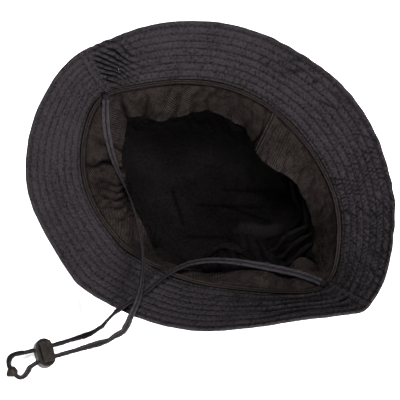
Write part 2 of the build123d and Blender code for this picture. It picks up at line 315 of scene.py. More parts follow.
def mix_node(tree, first, second, share):
    """Two heights added up, of which the second has a share."""
    return math_node(tree, "ADD", math_node(tree, "MULTIPLY", first, 1 - share),
                     math_node(tree, "MULTIPLY", second, share))


def bump_node(tree, height, strength, distance, below=None):
    """Normal of a surface raised by a height, on top of another normal if one is given."""
    node = add(tree, "ShaderNodeBump", Strength=strength, Distance=distance)
    tree.links.new(height, node.inputs["Height"])
    if below is not None:
        tree.links.new(below, node.inputs["Normal"])
    return node.outputs["Normal"]


def ramp_node(tree, height, low, high, dark, light):
    """Colour that goes from dark to light as the height goes from low to high."""
    node = add(tree, "ShaderNodeValToRGB")
    for element, position, colour in zip(node.color_ramp.elements, (low, high), (dark, light)):
        element.position = position
        element.color = (*colour, 1)
    tree.links.new(height, node.inputs["Fac"])
    return node.outputs["Color"]


def cloth(name, dark, light, pitch, angle=0.0, weave_depth=0.00015, weave_share=0.25,
          fuzz=0.0, blotch=0.2, grain=0.0008):
    """Woven cotton: yarn bump, speckle between yarns, broad faded blotches, and the painted shade of each
    mesh's _SHADE attribute.
    """
    material, tree, shader = new_material(name, light, 0.95, Specular_IOR_Level=0.01,
                                          Sheen_Weight=fuzz, Sheen_Roughness=0.5)
    weave = threads(tree, pitch, angle)
    mixed = mix_node(tree, noise_node(tree, 620, 2.0, 0.75), weave, weave_share)
    mixed = mix_node(tree, mixed, noise_node(tree, 45, 4.0, 0.62), blotch)
    # The colour is multiplied by the painted shade that the mesh carries.
    painted_shade_attribute = add(tree, "ShaderNodeAttribute", attribute_name="_SHADE")
    shaded = add(tree, "ShaderNodeVectorMath", operation="SCALE")
    tree.links.new(ramp_node(tree, mixed, 0.41, 0.60, dark, light), shaded.inputs["Vector"])
    tree.links.new(painted_shade_attribute.outputs["Fac"], shaded.inputs["Scale"])
    tree.links.new(shaded.outputs["Vector"], shader.inputs["Base Color"])
    fine = bump_node(tree, weave, 0.9, weave_depth)
    rumple = bump_node(tree, noise_node(tree, 640, 3.0, 0.7), 0.9, grain, fine)
    tree.links.new(rumple, shader.inputs["Normal"])
    return material


def grained(name, colour, roughness, scale, detail, strength, depth, dark=None, **sockets):
    """Smooth material with a fine grain, of one colour or rubbed lighter in places."""
    material, tree, shader = new_material(name, colour, roughness, **sockets)
    if dark is not None:
        rubbed_and_lit = ramp_node(tree, noise_node(tree, 260, 5.0, 0.65), 0.35, 0.7, dark, colour)
        tree.links.new(rubbed_and_lit, shader.inputs["Base Color"])
    grain = bump_node(tree, noise_node(tree, scale, detail), strength, depth)
    tree.links.new(grain, shader.inputs["Normal"])
    return material


SHELL_CLOTH = cloth("shell_cloth_woven", (0.0030, 0.0026, 0.0029), (0.0262, 0.0224, 0.0252), 0.55)
BAND_CLOTH = cloth("band_cloth_twill", (0.0040, 0.0031, 0.0029), (0.0225, 0.0178, 0.0166), 1.3, -52,
                   weave_depth=0.00022, weave_share=0.33)
PIPING_CLOTH = cloth("piping_cloth_twill", (0.0080, 0.0064, 0.0058), (0.0250, 0.0200, 0.0182), 0.8, 60)
LINING_CLOTH = cloth("lining_cloth_plain", (0.0012, 0.0010, 0.0010), (0.0056, 0.0049, 0.0050), 0.5,
                     grain=0.0004)
STIFFENER = cloth("interlining_felt", (0.30, 0.30, 0.28), (0.42, 0.42, 0.40), 0.4, fuzz=0.1)
LACE_CLOTH = cloth("lace_tape_woven", (0.0080, 0.0070, 0.0080), (0.0300, 0.0268, 0.0300), 0.6, blotch=0.15,
                   grain=0.0004)
THREAD, BAND_THREAD = (
    grained(name, colour, 0.9, 2500, 1.0, 0.5, 0.0001, Specular_IOR_Level=0.08) for name, colour in (
        ("sewing_thread", (0.0065, 0.0058, 0.0065)), ("band_thread", (0.020, 0.0165, 0.015))))
PLASTIC = grained("lock_plastic_moulded", (0.021, 0.0175, 0.0155), 0.42, 900, 2.0, 0.25, 0.0002,
                  dark=(0.006, 0.0050, 0.0044), Specular_IOR_Level=0.06)
STEEL = grained("spring_wire", (0.55, 0.55, 0.56), 0.3, 3000, 3.0, 0.2, 0.00005, Metallic=1.0)


def dress(piece, material, body, slot, *nodes):
    """Gives a piece its material and its body, and hides the nodes it stands for. Its slot argument is not
    used.
    """
    piece.data.materials.append(material)
    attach(piece, body)
    if nodes:
        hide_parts(*nodes)
    return piece


# ---------------------------------------------------------------- camera, floor and lights
VIEW_AZIMUTH = math.radians(40.6)
VIEW_TILT = math.radians(12)        # from straight down
VIEW_DISTANCE = 1.0
SENSOR_WIDTH, LENS_LENGTH = 36, 118.7
LIGHTS_AIM = Vector((0, 0, 0.08))
VIEW_POINT = Vector((-3.8, -10.8, 88.0)) * MM
level_up = Vector((-math.sin(VIEW_AZIMUTH), math.cos(VIEW_AZIMUTH), 0))
level_right = Vector((math.cos(VIEW_AZIMUTH), math.sin(VIEW_AZIMUTH), 0))
to_camera = Vector((0, 0, 1)) * math.cos(VIEW_TILT) - level_up * math.sin(VIEW_TILT)


def make_camera():
    lens = bpy.data.cameras.new("camera")
    lens.sensor_width = SENSOR_WIDTH
    lens.lens = LENS_LENGTH
    camera = bpy.data.objects.new("camera", lens)
    camera.location = VIEW_POINT + to_camera * VIEW_DISTANCE
    camera.rotation_euler = (-to_camera).to_track_quat("-Z", "Y").to_euler()
    bpy.context.scene.collection.objects.link(camera)
    bpy.context.scene.camera = camera


def area_light(name, right, up, height, size, power):
    """Softbox at a place given in the picture's own directions, aimed at the hat."""
    lamp = bpy.data.lights.new(name, "AREA")
    lamp.shape = "DISK"
    lamp.size = size
    lamp.energy = power
    light = bpy.data.objects.new(name, lamp)
    light.location = level_right * right + level_up * up + Vector((0, 0, height))
    light.rotation_euler = (LIGHTS_AIM - light.location).to_track_quat("-Z", "Y").to_euler()
    bpy.context.scene.collection.objects.link(light)


def make_stage():
    bpy.ops.mesh.primitive_plane_add(size=8)
    floor = bpy.context.object
    floor.name = "floor"
    material, _, shader = new_material("floor_paper", (0.88, 0.88, 0.88), 0.9, Emission_Strength=0.62)
    shader.inputs["Emission Color"].default_value = (1, 1, 1, 1)
    floor.data.materials.append(material)
    world = bpy.data.worlds.new("studio")
    world.use_nodes = True
    world.node_tree.nodes["Background"].inputs["Color"].default_value = (1, 1, 1, 1)
    world.node_tree.nodes["Background"].inputs["Strength"].default_value = 0.19
    bpy.context.scene.world = world
    area_light("key", 0.58, -1.18, 1.12, 0.40, 62)
    area_light("top", -0.02, 0.48, 1.85, 0.70, 46)
    bpy.context.scene.view_settings.view_transform = "Standard"


make_camera()
make_stage()

# ---------------------------------------------------------------- brim
STITCH = 2.4
STITCH_PITCH = 3.3
THREAD_RADIUS = 0.22
STITCH_LIFT = 0.8
ROW_FIRST = 4.2             # stitch rows, from the brim seam
ROW_PITCH = 6.1
ROWS = 8
BRIM_WIDTH = 51.0           # along the slope
SEAM_STRIP = 4.6            # width of the pressed strip along each side seam
TUCK = 1.6                  # how far the plies go on under the edging
BRIM_STEP = 0.8
STIFFENER_STEP = 1.0
STIFFENER_HALF = 0.12       # half its thickness
STACK_HALF = 1.15           # half the thickness of all the plies
PLY_INSIDE = 0.2            # a ply's inner face, from the middle of the brim
RELIEF_LIMIT = 0.7          # deeper relief would cut into the stiffener
EDGE_ROUND = 1.4
STITCH_TAPER = np.array([0.6, 1, 1, 1, 0.6])
STITCH_BOW = np.array([-0.3, 0.0, 0.06, 0.0, -0.3])
CORNER = 15.85              # place of the sharp corner of the edge, by the right side seam

brim_middle = closed_curve((np.array(SEAM) + np.array(EDGE)) / 2)


def brim_base(places, shares):
    """Middle surface of the brim, in millimetres."""
    inner, outer = seam_at(places), edge_at(places)
    corner = around(places, CORNER, 0.22)[:, None] * [2.2, -0.4]
    ripple = 0.5 * noise(places * 1.7, places * 0) + 0.18 * noise(places * 9.0, places * 0 + 8)
    outer = outer + corner + unit(outer - inner) * ripple[:, None]
    height = CROWN_DEPTH + BRIM_STACK / 2
    return between(raised(inner, height), raised(outer, height + BRIM_RISE), shares)


def row_gap(r):
    """Distance to the nearest stitch row and a pillow, 0 on the rows and 1 midway between."""
    k = np.clip(np.round((r - ROW_FIRST) / ROW_PITCH), 0, ROWS - 1)
    away = np.abs(r - ROW_FIRST - k * ROW_PITCH)
    return away, np.sin(np.clip(away / ROW_PITCH, 0, 0.5) * math.pi)


def buckle_fields(t, s, r):
    """Beside the left and the right side seam: strength, phase and valley width of the buckles."""
    share = r / BRIM_WIDTH
    seam_side = np.clip((half_length - 8 - 0.06 * r - s) / 4, 0, 1)
    left = np.minimum(1.5 * around(t, 7.3, 0.42), 1) * hump(share, 0.50, 0.55) * seam_side
    left_phase = (s - 0.62 * r) / 5.2 + 0.55 * noise(s / 13, r / 15 + 4)
    right = np.minimum(1.4 * around(t, 15.15, 0.75), 1) * hump(share, 0.38, 0.48)
    right_phase = (r + 0.04 * s) / 8.6 + 0.28 * noise(s / 21, r / 14 + 40)
    clear_of_seam = np.clip(r / 7, 0, 1)
    return (left * clear_of_seam, left_phase, 0.13), (right * clear_of_seam, right_phase, 0.19)


def brim_buckles(t, s, r):
    """Buckles of all the plies beside the two side seams and across the back, in millimetres."""
    buckles = 0
    for strong, phase, _ in buckle_fields(t, s, r):
        buckles = buckles - 1.0 * strong * np.cos((phase - 0.5) * 2 * math.pi)
    ridges = around(t, 4.35, 0.45) + 0.6 * around(t, 2.0, 1.2)
    phase = s + 0.9 * r + 3 * noise(s / 15, r / 15)
    return buckles + 0.75 * ridges * r / BRIM_WIDTH * np.sin(phase * 2 * math.pi / 13)


def buckle_lines(t, s, r):
    """Sharp bottoms of the buckles, broken here and there, in millimetres. The shape stops at the relief
    limit, so most of their depth, and the slight sinking of the whole buckled area, shows only as painted
    shade.
    """
    depth = 0
    for strong, phase, width in buckle_fields(t, s, r):
        valley = hump(phase % 1, 0.5, width)
        broken = np.clip(0.9 + 0.9 * noise(s / 9 + 60, r / 9 + 11), 0.15, 1.4)
        depth = depth - 2.0 * strong * valley * broken - 0.16 * strong
    return depth


def brim_sway(t, s, r):
    """Slow waves and buckles that every ply of the brim shares, in millimetres."""
    waves = 1.5 * r / BRIM_WIDTH * noise(s / 60, r / 90) + 0.7 * noise(s / 22 + 9, r / 30)
    return waves + brim_buckles(t, s, r)


def creases(s, r, row, pitch, lean, seed):
    """Sharp irregular valleys across the channels between stitch rows, from 0 to 1."""
    phase = (s + lean * r) / pitch + noise(s / 12 + seed, row * 0.21) + 0.14 * noise(s / 3, r / 3 + seed)
    cell = np.floor(phase)
    wide = 0.12 + 0.05 * noise(cell * 0.77, row * 1.3 + seed)
    strong = noise_table[(cell.astype(int) * 7 + seed) % NOISE_SIZE,
                         (row.astype(int) * 5 + seed) % NOISE_SIZE]
    return strong * hump(phase - cell, 0.5, wide)


def brim_pucker(t, s, r, seed):
    """Quilting and puckers of one face of the brim, in millimetres."""
    away, pillow = row_gap(r)
    row = np.floor((r - ROW_FIRST) / ROW_PITCH) + 0 * s
    strength = 0.26 + 0.16 * noise(s / 30 + seed, r / 12)
    strength = strength + bumps(t, (0.75, 1.9, 1.5), (0.40, 4.3, 0.7), (0.35, 6.9, 0.7), (0.30, 14.8, 1.2))
    lean = 0.45 + 0.35 * noise(s / 70 + 31, r / 60)
    valleys = 1.5 * creases(s, r, row, 4.6, lean, seed) + 0.9 * creases(s, r, row, 3.1, -0.4, seed + 9)
    flatter = 1 - 0.45 * around(t, 0.9, 1.1)
    valleys = (0.25 + 0.75 * pillow) * valleys
    body = 0.30 * flatter * pillow + strength * (0.12 * noise(s / 4, r / 2.5) - valleys)
    slanted = around(t, 1.1, 1.1) * creases(s, r, np.floor(r / 5 + 0 * s), 2.6, 0.75, seed + 3)
    grain = 0.07 * noise(s / 1.3, r / 1.3 + seed) + 0.06 * noise(s / 2.9 + 7, r / 2.3 + seed) - 1.1 * slanted
    sewn = 0.12 + bumps(t, (0.18, 3.6, 1.9), (0.10, 14.2, 1.2)) + 0.07 * noise(s / 6, row * 3.1 + seed)
    groove = sewn * flatter * hump(away, 0, 0.7)
    stitch_dip = 0.28 * hump(away, 0, 0.6) * (1 + np.cos(2 * math.pi * s / STITCH_PITCH))
    hem = 0.45 * hump(r, BRIM_WIDTH - 2.6, 0.5)
    # Groove along the seam beside the edging, deeper at the front of the left seam; past the relief limit
    # its depth shows only as painted shade.
    at_seam = hump(r, 1.1, 1.1) + 0.7 * around(t, 8.25, 0.4) * hump(r, 1.5, 2.6)
    return body + grain - groove - stitch_dip - hem - at_seam


def with_seams(relief, s, r):
    """The relief with the side seams: flat pressed strips with a stitched line down each side."""
    for place, lean in ((0, 0), (half_length - 4.5, -0.06), (full_length, 0)):
        away = np.abs(s - place - lean * r)
        strip = np.exp(-(away / SEAM_STRIP * 1.7) ** 4)
        stitched = 1 + 0.5 * np.cos(2 * math.pi * r / STITCH_PITCH)
        relief = relief * (1 - 0.8 * strip) + 0.1 * strip
        relief = relief - 0.55 * stitched * hump(away, SEAM_STRIP / 2, 0.6)
    return relief


def brim_half(start, stop, step):
    """Grids of one half of the brim: places, distance along and across, base points and normals."""
    t, s = even_places(start, stop, step, brim_middle)
    s = s + (0 if start == 0 else half_length)
    inner_part = np.arange(-TUCK, BRIM_WIDTH - 2 * EDGE_ROUND, step)
    r = np.append(inner_part, BRIM_WIDTH - EDGE_ROUND * np.array([1.6, 1.2, 0.9, 0.6, 0.35, 0.15, 0.03, 0]))
    base = brim_base(t, r / BRIM_WIDTH)
    return t[:, None], s[:, None], r[None, :], base, normals_of(base)


half_length = even_places(0, LEFT_SEAM, 1, brim_middle)[1][-1]
full_length = half_length + even_places(LEFT_SEAM, STATIONS, 1, brim_middle)[1][-1]
HALVES = {"back": (0, LEFT_SEAM), "front": (LEFT_SEAM, STATIONS)}
brim_faces = {}


def crease_shade(relief, strength=1.5):
    """Colour share of cloth with painted shade: dark where the relief, in millimetres, is sunk."""
    return np.exp(strength * np.minimum(relief, 0.05))


def edge_fade(r):
    """How far a face stands off the middle surface, as a share: round at the brim's edge."""
    from_edge = np.clip((BRIM_WIDTH - r) / EDGE_ROUND, 0, 1)
    return np.sqrt(1 - (1 - from_edge) ** 2)


def make_brim(half):
    t, s, r, base, up = brim_half(*HALVES[half], BRIM_STEP)
    sway = brim_sway(t, s, r)
    round_off = edge_fade(r)
    fade = np.clip((BRIM_WIDTH - r) / 3.0, 0, 1)
    near_relief, far_relief = (with_seams(brim_pucker(t, s, r, seed) + buckle_lines(t, s, r), s, r)
                               for seed in (1, 23))

    def face(height):
        return base + up * (sway + height)[..., None]

    top = face(STACK_HALF * round_off + np.maximum(near_relief, -RELIEF_LIMIT) * fade)
    low = face(-STACK_HALF * round_off - np.maximum(far_relief, -RELIEF_LIMIT) * fade)
    # Painted shade in the sunk relief of each face and in the hollows of the buckles.
    painted_shade = crease_shade(near_relief) * crease_shade(brim_buckles(t, s, r), 0.35)
    for ply, near, far, shade in (
            ("under", top, face(PLY_INSIDE * round_off), painted_shade),
            ("upper", face(-PLY_INSIDE * round_off), low, crease_shade(far_relief))):
        piece = shell(f"brim_{ply}_{half}_cloth", near, far, uv_grid(s, r), shade=shade)
        dress(piece, SHELL_CLOTH, HAT, "shell_cloth", f"brim_{ply}_{half}")
    brim_faces[half] = (s[:, 0], r[0], top, low)


def make_stiffener(half):
    t, s, r, base, up = brim_half(*HALVES[half], STIFFENER_STEP)
    keep = (r[0] > ROW_FIRST - 0.5) & (r[0] < BRIM_WIDTH - EDGE_ROUND * 1.3)
    base, up, r = base[:, keep], up[:, keep], r[:, keep]
    sway = brim_sway(t, s, r)
    faces = [base + up * (sway + height)[..., None] for height in (STIFFENER_HALF, -STIFFENER_HALF)]
    piece = shell(f"brim_interlining_{half}_felt", *faces, uv_grid(s, r))
    dress(piece, STIFFENER, HAT, "interlining", f"brim_interlining_{half}")


def on_grid(grid, s_axis, r_axis, s, r):
    """Points of a grid at distances along and across it."""
    i = np.interp(s, s_axis, np.arange(len(s_axis)))
    j = np.interp(r, r_axis, np.arange(len(r_axis)))
    i0 = np.clip(np.floor(i).astype(int), 0, len(s_axis) - 2)
    j0 = np.clip(np.floor(j).astype(int), 0, len(r_axis) - 2)
    fi, fj = (i - i0)[..., None], (j - j0)[..., None]
    return ((grid[i0, j0] * (1 - fi) + grid[i0 + 1, j0] * fi) * (1 - fj)
            + (grid[i0, j0 + 1] * (1 - fi) + grid[i0 + 1, j0 + 1] * fi) * fj)



def stitch_lines(grid, s_axis, r_axis, r_values, stop, lift, pitch=STITCH_PITCH, stitch=STITCH):
    """Short bowed lines of thread along rows of a grid, lifted off it in their middles."""
    lines = []
    shares = np.linspace(0, 1, len(STITCH_BOW))
    for number, r in enumerate(r_values):
        first = np.arange(s_axis[0] + 1 + 0.37 * pitch * number % pitch, stop - stitch, pitch)
        s = first[:, None] + stitch * shares
        line = on_grid(grid, s_axis, r_axis, s, np.full_like(s, r))
        line[..., 2] += lift * STITCH_BOW
        lines.append(line)
    return np.concatenate(lines)


def make_brim_stitching():
    rows = [ROW_FIRST + ROW_PITCH * k for k in range(ROWS)]
    for side, lift in (("under", STITCH_LIFT), ("upper", -STITCH_LIFT)):
        lines = [stitch_lines(top if side == "under" else low, s, r, rows, s[-1], lift)
                 for s, r, top, low in brim_faces.values()]
        piece = tubes(f"brim_{side}_stitching", np.concatenate(lines), 5, THREAD_RADIUS * STITCH_TAPER)
        dress(piece, THREAD, HAT, "thread")


for half_name in HALVES:
    make_brim(half_name)
    make_stiffener(half_name)
make_brim_stitching()

# ---------------------------------------------------------------- crown and its lining
WALL_STEP = 1.4
# Soft dents: place, share of the way down the wall, depth inwards, and the width round and down.
CROWN_DENTS = [
    (14.05, 0.50, 20, 0.75, 0.17), (15.3, 0.48, 12, 0.60, 0.20), (0.6, 0.60, 9, 0.6, 0.18),
    (1.8, 0.50, 6, 0.45, 0.22), (6.6, 0.50, 7, 0.5, 0.2), (9.3, 0.62, 6, 0.7, 0.22),
    (12.5, 0.70, 7, 0.6, 0.16),
]
LINING_DENTS = [
    (14.05, 0.50, 17, 0.62, 0.10), (13.6, 0.36, 12, 0.35, 0.06), (14.6, 0.38, 8, 0.18, 0.07),
    (4.7, 0.40, 9, 0.45, 0.09), (2.6, 0.34, 9, 0.5, 0.10), (11.2, 0.44, 13, 0.28, 0.12),
    (15.6, 0.40, 7, 0.22, 0.12), (0.9, 0.42, 7, 0.25, 0.10),
]


def dents_at(dents, t, w):
    total = np.zeros(np.broadcast_shapes(t.shape, w.shape))
    for place, share, depth, wide, tall in dents:
        total = total + depth * around(t, place, wide) * hump(w, share, tall)
    return total


def crown_dent(t, w):
    """How far the crown wall sinks inwards at a place round it and a share of its depth, in millimetres."""
    near_right = around(t, 15.2, 1.7)
    folds = noise(t * 2.1, w * 5 + 2) + 0.5 * noise(t * 5.3, w * 9 + 7)
    slanting = np.cos((t * 1.3 + w * 2.4 + 0.8 * noise(t * 1.5, w * 4)) * math.pi) ** 6
    dent = dents_at(CROWN_DENTS, t, w) + (1.2 + 1.0 * near_right) * folds + 1.6 * near_right * slanting
    return dent * np.clip(w / 0.12, 0, 1) * np.clip((1 - w) / 0.10, 0, 1)


def lining_folds(t, s, w):
    """Rumples of the loose lining: how far they stand in from the wall, and its colour share, with painted
    shade in their creases, painted light on the front wall and painted shadow on the back wall.
    """
    near_right = around(t, 15.0, 1.6)
    cuts = creases(s, w * 80, 0 * s, 15.0, 0.7, 5) + 0.7 * creases(s, w * 80, 0 * s, 9.0, -1.1, 12)
    arcs = near_right * np.sin((s * 0.8 + w * 95 + 4 * noise(s / 14, w * 6)) * 2 * math.pi / 9.5)
    loose = np.clip((w - 0.03) / 0.12, 0, 1)
    stand = 2.4 + 3.0 * near_right + dents_at(LINING_DENTS, t, w)
    stand = stand - 1.5 * cuts + 1.5 * arcs + 0.8 * noise(s / 9 + 5, w * 9)
    # Painted light on the front wall round station 11.8, painted shadow on the back wall round station 4.9.
    lit = (1 + 1.5 * around(t, 11.8, 0.7)) * (1 - 0.6 * around(t, 4.9, 2.4))
    return np.maximum(stand, 0.3) * loose, lit * np.exp(-(0.9 * cuts + 0.8 * np.maximum(-arcs, 0)) * loose)


LINING_FOOT = 20.0          # the loose lining turns from the wall into the tip at about this height
LINING_TOP, LINING_INSET = CROWN_DEPTH - 2.5, 1.4
CROWN_FOOT, CROWN_TOP = 0.9, CROWN_DEPTH + 0.6
STATION_LENGTH = 36.0       # about, in millimetres
CROWN_CLOTH_THICKNESS = 0.8
LINING_WALL_THICKNESS, LINING_TIP_THICKNESS = 0.6, 0.5
CLEAR_OF_LINING = 1.6       # gap that the band and the folds keep from the lining's wall
TIP_RINGS = 70
ROLL_SIDES, ROLL_STATIONS = 28, 90
# Ridges and valleys of the lining of the tip: its two ends, its width and its rise.
TIP_CREASES = [
    ((7, 20), (43, 40), 0.8, -1.1), ((-30, -28), (-2, 6), 5.0, 1.6), ((-10, 34), (30, 8), 6.0, 1.8),
]

# Fine creases painted as dark lines of shade on the lining of the tip, from one point to another.
LINING_CREASES = [
    ((-14, -2), (26, 30)), ((2, 12), (40, 26)), ((-6, 22), (22, 44)), ((-38, -6), (-12, -22)),
    ((-2, -26), (20, -8)),
]


def wall_grid(start, stop, top_height, foot_height, depth):
    """Grid of half of a wall under the brim seam: places, distances, shares, points and outward normals."""
    t, s = even_places(start, stop, WALL_STEP, seam_at)
    w = np.linspace(0, 1, int((top_height - foot_height) / WALL_STEP))
    base = between(raised(closed_curve(inset(SEAM, depth))(t), top_height),
                   raised(closed_curve(inset(SEAM, CROWN_TAPER + depth))(t), foot_height), w)
    outward = normals_of(base)
    if np.mean(np.sum(outward[..., :2] * base[..., :2], -1)) < 0:
        outward = -outward
    return t[:, None], s[:, None], w[None], base, outward


def depth_share(base):
    return np.clip((CROWN_DEPTH - base[..., 2]) / CROWN_DEPTH, 0, 1)


lining_faces = []


def clear_of_lining(points, wanted):
    """Points moved inwards until they stand off the lining's wall by the wanted gaps, in millimetres."""
    wall = np.concatenate([face.reshape(-1, 3) for face, _ in lining_faces])
    inward = np.concatenate([way.reshape(-1, 3) for _, way in lining_faces])
    tree = KDTree(len(wall))
    for k, place in enumerate(wall):
        tree.insert(place, k)
    tree.balance()
    nearest = np.array([tree.find(point)[1] for point in points.reshape(-1, 3)]).reshape(points.shape[:2])
    gap = np.sum((points - wall[nearest]) * inward[nearest], -1)
    push = np.maximum(wanted - gap, 0)
    for _ in range(6):
        around_it = (np.roll(push, 1, 0) + np.roll(push, -1, 0)) / 2
        push = np.maximum(push, 0.5 * (push + around_it))
    return points + inward[nearest] * push[..., None]


def make_wall(half):
    start, stop = HALVES[half]
    t, s, w, base, outward = wall_grid(start, stop, CROWN_TOP, CROWN_FOOT, 0.0)
    seams = 0
    for place in (start, stop):
        gap = np.abs(t - place) * STATION_LENGTH
        seams = seams + 0.45 * hump(gap, 2, 1.2) - 0.7 * hump(gap, 0, 0.8)
    hem = -0.5 * hump(w, 0.965, 0.012) + 0.25 * noise(s / 7, w * 12)
    middle = base - outward * crown_dent(t, depth_share(base))[..., None]
    piece = shell(f"crown_side_{half}_cloth", middle + outward * (seams + hem)[..., None],
                  middle - outward * CROWN_CLOTH_THICKNESS, uv_grid(s, w * CROWN_DEPTH))
    dress(piece, SHELL_CLOTH, HAT, "shell_cloth", f"crown_side_{half}")


def make_lining_wall(half):
    t, s, w, base, outward = wall_grid(*HALVES[half], LINING_TOP, LINING_FOOT, LINING_INSET)
    stand, shade = lining_folds(t, s, depth_share(base))
    outer = base - outward * (crown_dent(t, depth_share(base)) + stand)[..., None]
    inner = outer - outward * LINING_WALL_THICKNESS
    lining_faces.append((inner, -outward))
    piece = shell(f"lining_side_{half}_cloth", outer, inner, uv_grid(s, w * CROWN_DEPTH), shade=shade)
    dress(piece, LINING_CLOTH, HAT, "lining_cloth", f"lining_side_{half}")


def disc(name, outline, heights, thickness, shade=None):
    """Closed round panel: rings from the outline to the middle, heights given for each ring point."""
    q = np.linspace(1, 0.004, TIP_RINGS)
    level = between(np.tile(outline.mean(0), (len(outline), 1)), outline, q)
    top = np.concatenate([level, heights(level, q)[..., None]], -1)
    size = len(outline) * TIP_RINGS
    outside = np.arange(0, size, TIP_RINGS)
    inside = outside + TIP_RINGS - 1
    faces = np.concatenate([
        grid_faces(len(outline), TIP_RINGS, 0, True), grid_faces(len(outline), TIP_RINGS, size, True, True),
        rim_faces(np.roll(outside, -1), outside, size)]).tolist()
    faces += [inside.tolist(), (inside + size)[::-1].tolist()]
    points = np.reshape([top, top - UP * thickness], (-1, 3))
    return make_mesh(name, points, faces, points[:, :2], 1.0 if shade is None else shade(*points[:, :2].T))


def smooth_line(values, places):
    """Smooth open curve through values given at 0, 1, 2 and so on."""
    padded = np.concatenate([[2 * values[0] - values[1]], values, [2 * values[-1] - values[-2]]])
    i = np.clip(np.floor(places).astype(int), 0, len(values) - 2)
    f = places - i
    a, b, c, d = (padded[i + k] for k in range(4))
    return 0.5 * (2 * b + (c - a) * f + (2 * a - 5 * b + 4 * c - d) * f ** 2
                  + (3 * b - a - 3 * c + d) * f ** 3)


def near_line(x, y, start, stop, width):
    """Soft ridge, 1 on a straight line between two points and fading over a width."""
    way = np.subtract(stop, start)
    x, y = x - start[0], y - start[1]
    share = np.clip((x * way[0] + y * way[1]) / way.dot(way), 0, 1)
    return hump(np.hypot(x - way[0] * share, y - way[1] * share), 0, width)


def make_tips():
    t = even_places(0, STATIONS, 1.7, tip_at)[0][:-1]
    tip = disc("crown_tip_cloth", tip_at(t),
               lambda level, q: np.full(level.shape[:2], CROWN_CLOTH_THICKNESS), CROWN_CLOTH_THICKNESS)
    dress(tip, SHELL_CLOTH, HAT, "shell_cloth", "crown_tip")

    def lining_height(level, q):
        x, y = level[..., 0], level[..., 1]
        rise = 1.2 + 1.6 * noise(x / 30 + 3, y / 30) + 0.8 * noise(x / 11, y / 11 + 6)
        for start, stop, wide, depth in TIP_CREASES:
            rise = rise + depth * near_line(x, y, start, stop, wide)
        dish = (LINING_FOOT - 1.9) * np.clip((q - 0.55) / 0.45, 0, 1) ** 2
        loose = np.clip((1 - q) / 0.20, 0, 1)
        return 2.2 + dish[None, :] + np.maximum(rise, 0) * loose[None, :]

    def lining_shade(x, y):
        # Painted light: a lighter patch on the tip round (-22, -30).
        rubbed_and_lit = np.exp(-((x + 22) ** 2 + (y + 30) ** 2) / 34 ** 2)
        # Painted shade along the fine creases, drawn without any shape.
        creased = sum(near_line(x, y, start, stop, 1.4) for start, stop in LINING_CREASES)
        # Painted shadow along the back of the tip, under the band's free edge.
        shaded = near_line(x, y, (-88, 22), (-12, 64), 17)
        # Random mottling, with the painted light of the lighter patch added.
        mottled = 0.92 + 0.75 * rubbed_and_lit + 0.22 * noise(x / 17, y / 17) + 0.12 * noise(x / 5, y / 5)
        return mottled * (1 - 0.6 * shaded) * np.exp(-0.7 * creased)

    outline = closed_curve(inset(SEAM, CROWN_TAPER + 1.6))(t)
    lining = disc("lining_tip_cloth", outline, lining_height, LINING_TIP_THICKNESS, lining_shade)
    dress(lining, LINING_CLOTH, HAT, "lining_cloth", "lining_tip")


# Slack of the lining, gathered into folds: their middle lines, widths and heights.
LINING_ROLLS = [
    ("facet", [(24, -12, 44), (33, -8, 53), (42, 2, 55), (51, 14, 52), (56, 24, 44)], 15.0, 2.5),
    ("roll", [(24, -42, 52), (26, -30, 56), (29, -22, 60), (37, -18, 62), (50, -17, 60), (60, -17, 56)],
     7.0, 3.5),
    ("arc_inner", [(58, -10, 54), (62, 2, 55), (61, 14, 54), (65, 28, 50), (74, 42, 46)], 4.6, 2.6),
    ("arc_middle", [(66, -10, 56), (70, 2, 58), (70, 13, 57), (73, 26, 54), (81, 38, 50)], 4.4, 2.6),
    ("arc_outer", [(73, -9, 58), (77, 1, 60), (78, 12, 60), (80, 23, 58), (86, 33, 54)], 4.2, 2.4),
    ("right", [(43, 57, 50), (52, 52, 46), (62, 47, 44), (67, 38, 40), (67, 26, 34), (60, 14, 26)],
     6.0, 3.0),
    ("right_low", [(33, 58, 34), (44, 55, 30), (53, 50, 27), (58, 41, 22), (57, 30, 14)], 6.5, 3.0),
    ("tab", [(-42, -52, 40), (-33, -48, 46), (-27, -44, 48), (-21, -47, 50), (-15, -58, 50)], 6.5, 3.0),
]


def smoothed(line, reach=8):
    """The line with each point moved to the mean of its neighbours within reach."""
    ends = np.concatenate([np.repeat(line[:1], reach, 0), line, np.repeat(line[-1:], reach, 0)])
    return np.mean([ends[k:k + len(line)] for k in range(2 * reach + 1)], axis=0)


def make_lining_rolls():
    """Soft folds of cloth that stand in from the lining, thick in the middle and fading at their ends."""
    angles = np.linspace(0, 2 * math.pi, ROLL_SIDES, endpoint=False)
    across = np.cos(angles)
    rise = np.sign(np.sin(angles)) * np.abs(np.sin(angles)) ** 1.3 - 0.25 * across
    # Painted light across the middle of each fold and painted shade down its two sides.
    shade = 1.10 - 0.55 * np.clip(np.abs(across) - 0.55, 0, 1) / 0.45
    for name, points, width, height in LINING_ROLLS:
        places = np.linspace(0, len(points) - 1, ROLL_STATIONS)
        line = np.stack([smooth_line(column, places) for column in np.array(points, float).T], 1)
        line = smoothed(clear_of_lining(line[None], CLEAR_OF_LINING)[0])
        tangent = unit(np.gradient(line, axis=0))
        side = unit(np.cross(tangent, UP))
        share = places / places[-1]
        swell = np.sin(math.pi * np.clip(share, 0.02, 0.98)) ** 0.4 / 2
        wide = swell * width * (1 + 0.25 * noise(share * 7 + width, share * 0))
        tall = swell * height * (1 + 0.35 * noise(share * 9 + width, share * 0 + 5))
        piece = sweep(f"lining_fold_{name}", line, side, np.cross(side, tangent), across * wide[:, None],
                      rise * tall[:, None], (places[:, None] * 10, across * width), shade)
        dress(piece, LINING_CLOTH, HAT, "lining_cloth")


for half_name in HALVES:
    make_wall(half_name)
    make_lining_wall(half_name)
make_tips()
make_lining_rolls()

